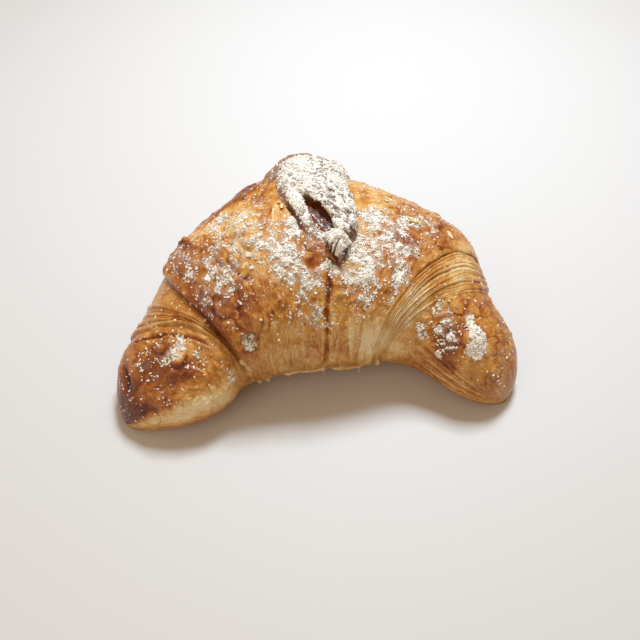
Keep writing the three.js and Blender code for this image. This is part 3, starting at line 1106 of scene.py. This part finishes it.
# %% The tongue's coats
steep = ease(np.abs(np.gradient(lift, axis=1)) / 0.14, 0.8, 2.2) * (0.25 + 0.75 * (across < 0.6))
valley = ease(degrees, 84, 92) * (1 - ease(degrees, 100, 107)) * (1 - raised)
on_knob = knobby * (0.3 - 0.3 * ease(degrees, 109, 117))
powdered = 0.74 * raised * (1 - 0.6 * steep) + on_knob + 0.42 * (1 - raised)
powdered = powdered - 0.45 * valley + 0.16 * noise(plain, 4, seed=70)
powdered = powdered - 0.34 * gaps - 0.6 * wrinkles
brown = 0.56 + 0.24 * raised + 0.26 * valley + 0.14 * knobby + 0.14 * rough(plain, 3, seed=69)
# painted shade: in the valley under the lobe, in the puckers, the wrinkles and the gaps
dark = 0.55 * valley + 0.5 * ease(puckers, 0.6, 0.9) * (powdered < 0.9) + 0.6 * wrinkles + 0.3 * gaps
paint(
    tongue, row, column, pulled(at, angle),
    brown=brown, sugar=np.clip(powdered, 0, 1) * on_top, crease=np.clip(dark, 0, 1),
)
print("sugar covers", round(100 * float((powdered > 0.6).mean())), "% of the tongue")

# %% [markdown]
# ## Torn skins
# Behind the lobe two thin skins of dough stand up, torn loose and baked dark along their edge. A
# skin is a long loft, half a millimetre thick, on edge. The same loft, short and nearly flat, makes
# the flakes that lift off the wrap and the shards and ragged lips that hang from the belly, so one
# function makes them all.


# %% Thin lofts
RAGGED = 0.16
HANGING = np.array([0, -0.35, -0.94])  # the way that a shard leaves the skin
LOWEST = 0.3  # millimetres above what the croissant lies on


def skins(name, rows, columns, all_stations, brown, sugar, end=0.3):
    """One mesh of thin closed lofts, whose ends are rounded over the share end.

    A station is at, angle in degrees, lift of the middle, half width, half height, tilt in degrees, and, for
    a piece that hangs, how far it has left the skin.
    """
    bpy.ops.object.select_all(action="DESELECT")
    made = []
    for number, stations in enumerate(all_stations):
        s = np.linspace(0, 1, rows + 1)
        at, angle, lift, width, height, tilt, *hang = through(np.array(stations, float), s).T
        middle = crescent(at, np.radians(angle), lift) + (sum(hang) + 0 * at)[:, None] * HANGING
        ahead = np.gradient(middle, axis=0)
        ahead /= np.linalg.norm(ahead, axis=1, keepdims=True)
        up = crescent(at, np.radians(angle), lift + 1) - middle
        up -= ahead * (up * ahead).sum(1, keepdims=True)
        up /= np.linalg.norm(up, axis=1, keepdims=True)
        side = np.cross(ahead, up)
        lean = np.radians(tilt)[:, None]
        level, upright = side, up
        side = level * np.cos(lean) + upright * np.sin(lean)
        up = upright * np.cos(lean) - level * np.sin(lean)
        full = np.sqrt(np.clip(1 - (1 - np.minimum(1, np.minimum(s, 1 - s) / end)) ** 2, 0, 1))
        ragged = 1 + RAGGED * noise(middle, 1.6, seed=73 + number)
        turn = -np.arange(columns) / columns * 2 * math.pi
        across = (width * full * ragged)[:, None] * np.cos(turn)
        rise = (height * full * ragged)[:, None] * np.sin(turn)
        points = middle[:, None] + across[..., None] * side[:, None] + rise[..., None] * up[:, None]
        points[..., 2] = np.maximum(points[..., 2], LOWEST)
        piece, row, column = sphere(name, rows, columns)
        lay(piece, row, column, points)
        lies = np.where(width > height, 1, 0)[:, None]
        edge = np.abs(lies * np.cos(turn)) ** 4 + (1 - lies) * np.maximum(0, np.sin(turn)) ** 2
        behind = np.where(width > height, 0, 0.4)[:, None] * np.maximum(0, -np.cos(turn))
        paint(piece, row, column, points, brown=brown + 0.25 * edge, sugar=sugar + behind, crease=0 * edge)
        made.append(piece)
    bpy.ops.object.select_all(action="DESELECT")
    for piece in made:
        piece.select_set(True)
    bpy.context.view_layer.objects.active = made[0]
    bpy.ops.object.join()
    made[0].name = name
    print(name, "has", len(made[0].data.polygons), "faces")
    return made[0]


# %% Standing skins
STANDING_SKINS = [
    [
        (0.432, 68, 0.2, 0.25, 0.5, 0), (0.444, 63, 1.6, 0.3, 1.4, 10), (0.457, 57, 3.2, 0.3, 1.9, 16),
        (0.472, 51, 4.6, 0.3, 2.2, 16), (0.490, 46, 5.6, 0.3, 2.0, 8), (0.512, 43, 6.0, 0.3, 1.8, 0),
        (0.532, 43, 5.4, 0.3, 1.5, -4),
    ],
    [
        (0.420, 62, 0.1, 0.2, 0.4, 0), (0.432, 58, 1.2, 0.25, 1.1, 10), (0.446, 53, 2.2, 0.25, 1.5, 16),
        (0.462, 48, 3.4, 0.25, 1.6, 16), (0.480, 44, 4.2, 0.25, 1.4, 8),
    ],
]
standing = skins("standing_skins", 120, 20, STANDING_SKINS, brown=0.5, sugar=0.45)

# %% [markdown]
# ## Flakes
# A leaf that tore right through curls off as a flake. A few shards hang from the underside of the
# belly, where the dough tore as it rose, and between them its lower edge ends in a ragged lip. The
# ones that catch the eye are placed one by one, and about two dozen small flakes follow a seeded draw.

# %% Flakes, shards and ragged lips
# at, angle and heading in degrees, length, half width, lift in millimetres and tilt; heading 90 runs round
NAMED_FLAKES = [
    (0.675, 77, 20, 5.2, 0.6, 1.9, 0),
    (0.676, 77, 75, 4.6, 0.6, 2.0, 0),
    (0.674, 78, 130, 4.0, 0.5, 1.8, 0),
    (0.252, 160, 60, 8.0, 1.4, 1.0, 20),
    (0.262, 168, 70, 7.0, 1.2, 1.0, 18),
    (0.715, 58, 70, 6.0, 1.2, 1.2, 16),
    (0.740, 66, 60, 6.0, 1.2, 1.2, 16),
    (0.610, 56, 20, 6.0, 0.9, 0.9, 14),
]
# the shards that hang from the belly: at, length and half width in millimetres
SHARDS = [
    (0.550, 3.8, 1.5), (0.638, 4.2, 1.3), (0.425, 1.8, 2.2), (0.590, 1.2, 2.0), (0.335, 2.2, 2.4),
    (0.300, 2.6, 1.8), (0.690, 1.2, 1.8),
]
# the two ragged lips along the belly's lower front: at, angle, lift, half width and hang of each station
LIPS = [
    [(0.385, 196, 0.1, 0.3, 0), (0.420, 199, 0.5, 0.8, 0.5), (0.470, 200, 0.5, 0.6, 0.3),
     (0.530, 199, 0.4, 0.8, 0.6), (0.556, 196, 0.1, 0.3, 0)],
    [(0.560, 196, 0.1, 0.3, 0), (0.590, 199, 0.5, 0.8, 0.6), (0.640, 199, 0.4, 0.5, 0.3),
     (0.690, 196, 0.1, 0.3, 0)],
]
SMALL_FLAKES = 26
print("flakes:", len(NAMED_FLAKES), "placed and", SMALL_FLAKES, "scattered, and", len(SHARDS), "shards")


# %% Stations of a flake, a shard and a lip
FLAKE_HALF_THICKNESS = 0.14  # millimetres
SHARD_HALF_THICKNESS = 0.12
SHARD_FROM = 196  # degrees round the roll
DEGREES_PER_MILLIMETRE = 1.3  # round the belly, whose radius is about 45 mm


def flake(at, angle, heading, length, width, lift, tilt):
    """Four stations of a loft that rises a little at its far end."""
    ahead = math.radians(heading)
    steps = [-0.5, -0.17, 0.17, 0.5]
    curl = [-0.5, 0.1, 0.1, 0.5]
    return [
        (
            at + step * length * math.cos(ahead) / ROLL_LENGTH,
            angle + step * length * math.sin(ahead) * DEGREES_PER_MILLIMETRE,
            lift + rise * min(1, 4 / length), width, FLAKE_HALF_THICKNESS, tilt + 12 * step,
        )
        for step, rise in zip(steps, curl)
    ]


def shard(at, length, width):
    """Stations of a loft that leaves the skin low on the front and hangs clear of it."""
    return [
        (at - 0.004, SHARD_FROM - 12, 0.2, width, SHARD_HALF_THICKNESS, 0, 0),
        (at - 0.002, SHARD_FROM, 0.5, width, SHARD_HALF_THICKNESS, 0, 0),
        (at, SHARD_FROM + 3, 0.5, 0.5 * width, SHARD_HALF_THICKNESS, 0, 0.4 * length),
        (at + 0.003, SHARD_FROM + 4, 0.5, 0.12, SHARD_HALF_THICKNESS, 0, length),
    ]


def lip(stations):
    """The same stations with a lip's thickness and no tilt."""
    return [(*station[:4], SHARD_HALF_THICKNESS, 0, station[4]) for station in stations]


print("a flake and a shard have", len(flake(*NAMED_FLAKES[0])), "stations, the first lip", len(LIPS[0]))

# %% The flakes
# the small ones lie on the left arm, on the left of the wrap, or from the crease to the right tip
SMALL_FLAKES_ON = [(0.02, 0.2), (0.22, 0.48), (0.56, 0.97)]
SMALL_FLAKES_SHARES = [0.2, 0.4, 0.4]

draw = np.random.default_rng(24)
flakes = [flake(*each) for each in NAMED_FLAKES]
flakes += [shard(*each) for each in SHARDS] + [lip(each) for each in LIPS]
for _ in range(SMALL_FLAKES):
    at = draw.choice([draw.uniform(*stretch) for stretch in SMALL_FLAKES_ON], p=SMALL_FLAKES_SHARES)
    place, heading = draw.uniform(40, 172), draw.uniform(0, 180)
    length, width, lift = draw.uniform(1.5, 3.8), draw.uniform(0.25, 0.7), draw.uniform(0.7, 1.1)
    flakes.append(flake(at, place, heading, length, width, lift, 0))
flake_piece = skins("flakes", 14, 8, flakes, brown=0.06, sugar=0.25)


# %% [markdown]
# ## Icing sugar that stands on the crust
# Sugar from a sieve lies as a thin film where little fell and as grains and small clumps where more
# did. The film is left to the material. The clumps are real: one small ball of twenty faces is
# copied to thousands of places, each copy turned, flattened and dented by its own draw. The draw
# follows the sugar coat, so the clumps gather where the film is thick.


# %% Faces and turns
def faces_of(piece):
    """The middle, the normal, the area and the coat of sugar of each face.

    The primitive's vertices come in the same order on every run, but its faces don't, so the faces are put in
    the order of their corners. Then the same seed finds the same faces every time.
    """
    mesh = piece.data
    count = len(mesh.polygons)
    middle, normal = np.empty(count * 3), np.empty(count * 3)
    area = np.empty(count)
    mesh.polygons.foreach_get("center", middle)
    mesh.polygons.foreach_get("normal", normal)
    mesh.polygons.foreach_get("area", area)
    coat = np.empty(len(mesh.vertices))
    mesh.attributes["sugar"].data.foreach_get("value", coat)
    first = np.empty(count, int)
    mesh.polygons.foreach_get("loop_start", first)
    corner = np.empty(len(mesh.loops), int)
    mesh.loops.foreach_get("vertex_index", corner)
    lowest, highest, total = (each.reduceat(corner, first) for each in (np.minimum, np.maximum, np.add))
    order = np.lexsort((total, highest, lowest))
    middle, normal = middle.reshape(-1, 3), normal.reshape(-1, 3)
    return middle[order], normal[order], area[order], coat[lowest[order]]


def turned(draw, count):
    """Random turns, one for each copy, as 3 by 3 matrices."""
    q = draw.normal(size=(count, 4))
    w, x, y, z = (q / np.linalg.norm(q, axis=1, keepdims=True)).T
    rows = [
        [1 - 2 * (y * y + z * z), 2 * (x * y - z * w), 2 * (x * z + y * w)],
        [2 * (x * y + z * w), 1 - 2 * (x * x + z * z), 2 * (y * z - x * w)],
        [2 * (x * z - y * w), 2 * (y * z + x * w), 1 - 2 * (x * x + y * y)],
    ]
    return np.moveaxis(np.array(rows), -1, 0)


print("the tongue's skin is", round(faces_of(tongue)[2].sum() / MM**2), "mm2")


# %% Sugar clumps
CLUMP_SHAPE = (1.5, 0.95, 0.6)  # a clump is longer than it is wide, and flat
CLUMP_DENTS = 0.4
CLUMP_PRESSED = 0.35  # how much flatter it lies on the crust
CLUMP_STANDS = 0.25  # how far its middle stands off, as a share of its size
CLUMP_SCATTER = 0.15  # millimetres off the middle of its face


def clumps(name, piece, count, smallest, largest, seed):
    """One mesh of count sugar clumps on a piece. smallest and largest are radii in millimetres."""
    draw = np.random.default_rng(seed)
    middle, normal, area, coat = faces_of(piece)
    gather = ease(rough(middle / MM, 2.2, seed=71), -0.2, 0.4) + 0.06
    weight = area * np.clip(coat, 0, 1) ** 2.4 * gather * ease(normal[:, 2], 0.05, 0.5)
    chosen = draw.choice(len(weight), count, p=weight / weight.sum())
    bpy.ops.object.select_all(action="DESELECT")
    bpy.ops.mesh.primitive_ico_sphere_add(subdivisions=1, radius=1)
    ball = bpy.context.object
    shape = np.array([v.co for v in ball.data.vertices])
    faces = np.array([p.vertices for p in ball.data.polygons])
    bpy.data.objects.remove(ball)
    size = smallest + (largest - smallest) * draw.random(count) ** 2.2 * (0.6 + 0.4 * coat[chosen])
    dents = 1 + CLUMP_DENTS * draw.uniform(-1, 1, (count, len(shape), 1))
    copies = np.einsum("nij,vj->nvi", turned(draw, count), shape * CLUMP_SHAPE) * dents
    out = normal[chosen][:, None]
    copies = copies - out * (copies * out).sum(-1, keepdims=True) * CLUMP_PRESSED
    place = middle[chosen] + draw.uniform(-1, 1, (count, 3)) * CLUMP_SCATTER * MM
    xyz = place[:, None] + (copies + out * CLUMP_STANDS) * size[:, None, None] * MM
    xyz[..., 2] = np.maximum(xyz[..., 2], low.z)
    all_faces = faces + np.arange(count)[:, None, None] * len(shape)
    mesh = bpy.data.meshes.new(name)
    mesh.from_pydata(xyz.reshape(-1, 3).tolist(), [], all_faces.reshape(-1, 3).tolist())
    made = bpy.data.objects.new(name, mesh)
    bpy.context.collection.objects.link(made)
    print(name, "has", count, "clumps")
    return made


# %% The clumps of each piece
sugar = [
    clumps("sugar_on_tongue", tongue, 6000, 0.14, 0.55, seed=81),
    clumps("sugar_on_left_arm", left_arm, 950, 0.18, 0.62, seed=82),
    clumps("sugar_on_wrap", belly, 6200, 0.17, 0.6, seed=83),
    clumps("sugar_on_right_arm", right_arm, 1300, 0.17, 0.66, seed=85),
]

# %% [markdown]
# ## Finishes
# The crust is a thin, hard, egg-washed skin of baked dough. Its colour is browning: cream where
# the dough was shaded from the heat, gold, orange-brown and nearly black where it stood nearest the
# heat, so one ramp over one number paints it, and painted shade is mixed in where shade falls. Each
# finish is a Principled shader, and one small function adds every node to it.

# %% Helpers for finishes
def add(tree, kind, inputs, **settings):
    """Adds a node. Each input is given a number, a colour or the socket that feeds it."""
    made = tree.nodes.new("ShaderNode" + kind)
    for key, value in settings.items():
        setattr(made, key, value)
    for key, value in inputs.items():
        if isinstance(value, bpy.types.NodeSocket):
            tree.links.new(value, made.inputs[key])
        else:
            made.inputs[key].default_value = value
    return made


def finish(name):
    """A new material, its node tree and its shader."""
    material = bpy.data.materials.new(name)
    material.use_nodes = True
    tree = material.node_tree
    return material, tree, tree.nodes["Principled BSDF"]


def per_millimetre(size):
    """The Scale of a texture whose features are size millimetres across."""
    return 1 / (size * MM)


print("a pattern of 2 mm has the scale", round(per_millimetre(2)))

# %% [markdown]
# ## Baked crust: the browning
# Two patterns vary the browning that is painted on the mesh. The mottle is as wide as the bubbles
# just under the skin, 2 to 3 mm. The flecks are the skin's pores and smallest blisters, 0.1 to
# 0.5 mm wide on a real crust. That is too fine to show, so they are drawn at 0.9 mm. Both follow
# the painted grain, so they lie along the way the dough was pulled. The third coat is painted
# shade: where the crust is torn or folded, in the gaps between the leaves and under the lips of the
# edges, it mixes in a dark brown where shade falls.

# %% Baked crust: browning
BROWNING = ["F3DFB6", "E8C88E", "D9A75E", "C28236", "A25B1D", "7F3A0C", "5C2704", "3C1802"]
# the dark brown of the painted shade in creases, gaps and under the lips
SHADE_BROWN = "42220D"
MOTTLE_SIZE = 2.2  # millimetres
FLECK_SIZE = 0.9
SHADE_WEIGHT = 0.72

crust_finish, tree, surface = finish("baked_crust")
coat = {
    name: add(tree, "Attribute", {}, attribute_name=name).outputs["Fac"]
    for name in ("brown", "sugar", "crease")
}
grain = add(tree, "Attribute", {}, attribute_name="grain").outputs["Vector"]
mottle = add(tree, "TexNoise", {
    "Vector": grain, "Scale": per_millimetre(MOTTLE_SIZE), "Detail": 5.0, "Roughness": 0.62,
})
fleck = add(tree, "TexNoise", {
    "Vector": grain, "Scale": per_millimetre(FLECK_SIZE), "Detail": 4.0, "Roughness": 0.7,
})
swing = add(tree, "MapRange", {
    "Value": mottle.outputs["Fac"], "From Min": 0.3, "From Max": 0.7, "To Min": -0.07, "To Max": 0.07,
})
spot = add(tree, "MapRange", {
    "Value": fleck.outputs["Fac"], "From Min": 0.35, "From Max": 0.65, "To Min": -0.06, "To Max": 0.06,
})
brown = add(tree, "Math", {0: coat["brown"], 1: swing.outputs["Result"]}, operation="ADD")
brown = add(tree, "Math", {0: brown.outputs[0], 1: spot.outputs["Result"]}, operation="ADD")
ramp = add(tree, "ValToRGB", {"Fac": brown.outputs[0]})
stops = ramp.color_ramp.elements
while len(stops) < len(BROWNING):
    stops.new(0.5)
for number, code in enumerate(BROWNING):
    stops[number].position = number / (len(BROWNING) - 1)
    stops[number].color = linear(code)
# the third coat mixes the painted shade into the crust's colour
shade = add(tree, "Math", {0: coat["crease"], 1: SHADE_WEIGHT}, operation="MULTIPLY")
crust = add(
    tree, "Mix", {"Factor": shade.outputs[0], 6: ramp.outputs["Color"], 7: linear(SHADE_BROWN)},
    data_type="RGBA",
)
print("the browning has", len(stops), "colours")

# %% [markdown]
# ## Baked crust: the film of sugar
# Icing sugar is ground to a few hundredths of a millimetre, which is too fine to show. What the eye
# sees is where it clung together: ragged specks of 2 mm and less. A noise of that size has the
# painted sugar coat added to it, and a sharp threshold makes specks of the sum: hardly any where
# the coat is 0.1, half of the crust where it is 0.6, and nearly all of it where it is 1. Under the
# specks a thin dust pales the crust.

# %% Baked crust: the film of sugar
SUGAR_WHITE = "F8F5EE"
SUGAR_DUST = "E2D7C6"
SPECK_SIZE = 2.1  # millimetres
COAT_WEIGHT = 0.42
SPECK_STARTS = 0.735  # the sum at which the sugar starts to show
SPECK_FULL = 0.775

place = add(tree, "TexCoord", {}).outputs["Object"]
powder = add(tree, "TexNoise", {
    "Vector": place, "Scale": per_millimetre(SPECK_SIZE), "Detail": 6.0, "Roughness": 0.72,
})
fall = add(tree, "Math", {0: coat["sugar"], 1: COAT_WEIGHT}, operation="MULTIPLY")
amount = add(tree, "Math", {0: powder.outputs["Fac"], 1: fall.outputs[0]}, operation="ADD")
film = add(
    tree, "MapRange", {"Value": amount.outputs[0], "From Min": SPECK_STARTS, "From Max": SPECK_FULL},
    interpolation_type="SMOOTHSTEP",
)
dust = add(tree, "MapRange", {"Value": coat["sugar"], "From Min": 0.24, "From Max": 0.6, "To Max": 0.42})
dusted = add(
    tree, "Mix", {"Factor": dust.outputs["Result"], 6: crust.outputs[2], 7: linear(SUGAR_DUST)},
    data_type="RGBA",
)
colour = add(
    tree, "Mix", {"Factor": film.outputs["Result"], 6: dusted.outputs[2], 7: linear(SUGAR_WHITE)},
    data_type="RGBA",
)
tree.links.new(colour.outputs[2], surface.inputs["Base Color"])
print("the film's specks are", SPECK_SIZE, "mm wide")

# %% [markdown]
# ## Baked crust: gloss and relief
# Baked egg has an IOR of about 1.5, which is the shader's own value. Pores make the crust far
# duller than glass, and what is left of the egg wash is a thin clear coat with small sharp
# highlights. Sugar is matt.

# %% Baked crust: gloss and relief
CRUST_ROUGHNESS = 0.33
FILM_ROUGHNESS = 0.9
RELIEF = 0.75  # millimetres
PATTERN_HEIGHT = 0.55  # of the crust's own two patterns, against the film's

dull = add(tree, "MapRange", {
    "Value": film.outputs["Result"], "To Min": CRUST_ROUGHNESS, "To Max": FILM_ROUGHNESS,
})
tree.links.new(dull.outputs["Result"], surface.inputs["Roughness"])
surface.inputs["Specular IOR Level"].default_value = 0.36
surface.inputs["Coat Weight"].default_value = 0.24
surface.inputs["Coat Roughness"].default_value = 0.09
height = add(tree, "Math", {0: fleck.outputs["Fac"], 1: mottle.outputs["Fac"]}, operation="ADD")
height = add(
    tree, "Math", {0: height.outputs[0], 1: PATTERN_HEIGHT, 2: film.outputs["Result"]},
    operation="MULTIPLY_ADD",
)
bump = add(tree, "Bump", {"Height": height.outputs[0], "Strength": 0.9, "Distance": RELIEF * MM})
tree.links.new(bump.outputs["Normal"], surface.inputs["Normal"])
print("baked crust has", len(tree.nodes), "nodes")

# %% [markdown]
# ## Icing sugar
# A clump is pressed sugar powder: white, matt, and painted a little greyer in its hollows as shade,
# because light that goes in comes out again after many grains. Its grains are too fine to show, so
# its surface is drawn in lumps of 0.7 mm, about the size of a clump. Sugar's IOR is 1.56, but a
# powder shows almost no gloss.

# %% Icing sugar
LUMP_SIZE = 0.7  # millimetres

sugar_finish, tree, surface = finish("icing_sugar")
place = add(tree, "TexCoord", {}).outputs["Object"]
lumps = add(tree, "TexNoise", {"Vector": place, "Scale": per_millimetre(LUMP_SIZE), "Detail": 3.0})
# tone: greyer where the bump is low, painted shade in the hollows
tone = add(
    tree, "Mix", {"Factor": lumps.outputs["Fac"], 6: linear("DDD9CF"), 7: linear("F9F7F2")}, data_type="RGBA"
)
tree.links.new(tone.outputs[2], surface.inputs["Base Color"])
surface.inputs["Roughness"].default_value = 0.95
surface.inputs["Specular IOR Level"].default_value = 0.25
bump = add(tree, "Bump", {"Height": lumps.outputs["Fac"], "Strength": 0.5, "Distance": 0.15 * MM})
tree.links.new(bump.outputs["Normal"], surface.inputs["Normal"])
print("icing sugar has", len(tree.nodes), "nodes")

# %% The floor's finish, and each piece's
floor_finish, tree, surface = finish("pale_table")
surface.inputs["Base Color"].default_value = linear("D4D5D8")
surface.inputs["Roughness"].default_value = 0.6
floor.data.materials.append(floor_finish)
crusts = [left_arm, right_arm, belly, tongue, standing, flake_piece]
for piece in [*crusts, *sugar]:
    piece.data.materials.clear()
    piece.data.materials.append(sugar_finish if piece in sugar else crust_finish)
print(len(crusts), "pieces of crust and", len(sugar), "of sugar have their finish")

# %% [markdown]
# ## Hand over
# Every piece rides on the croissant's one body and stands for its one solid, which stays as the
# shape that a simulation touches.

# %% Hand over
for piece in [*crusts, *sugar]:
    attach(piece, BODY)
    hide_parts(NODE)
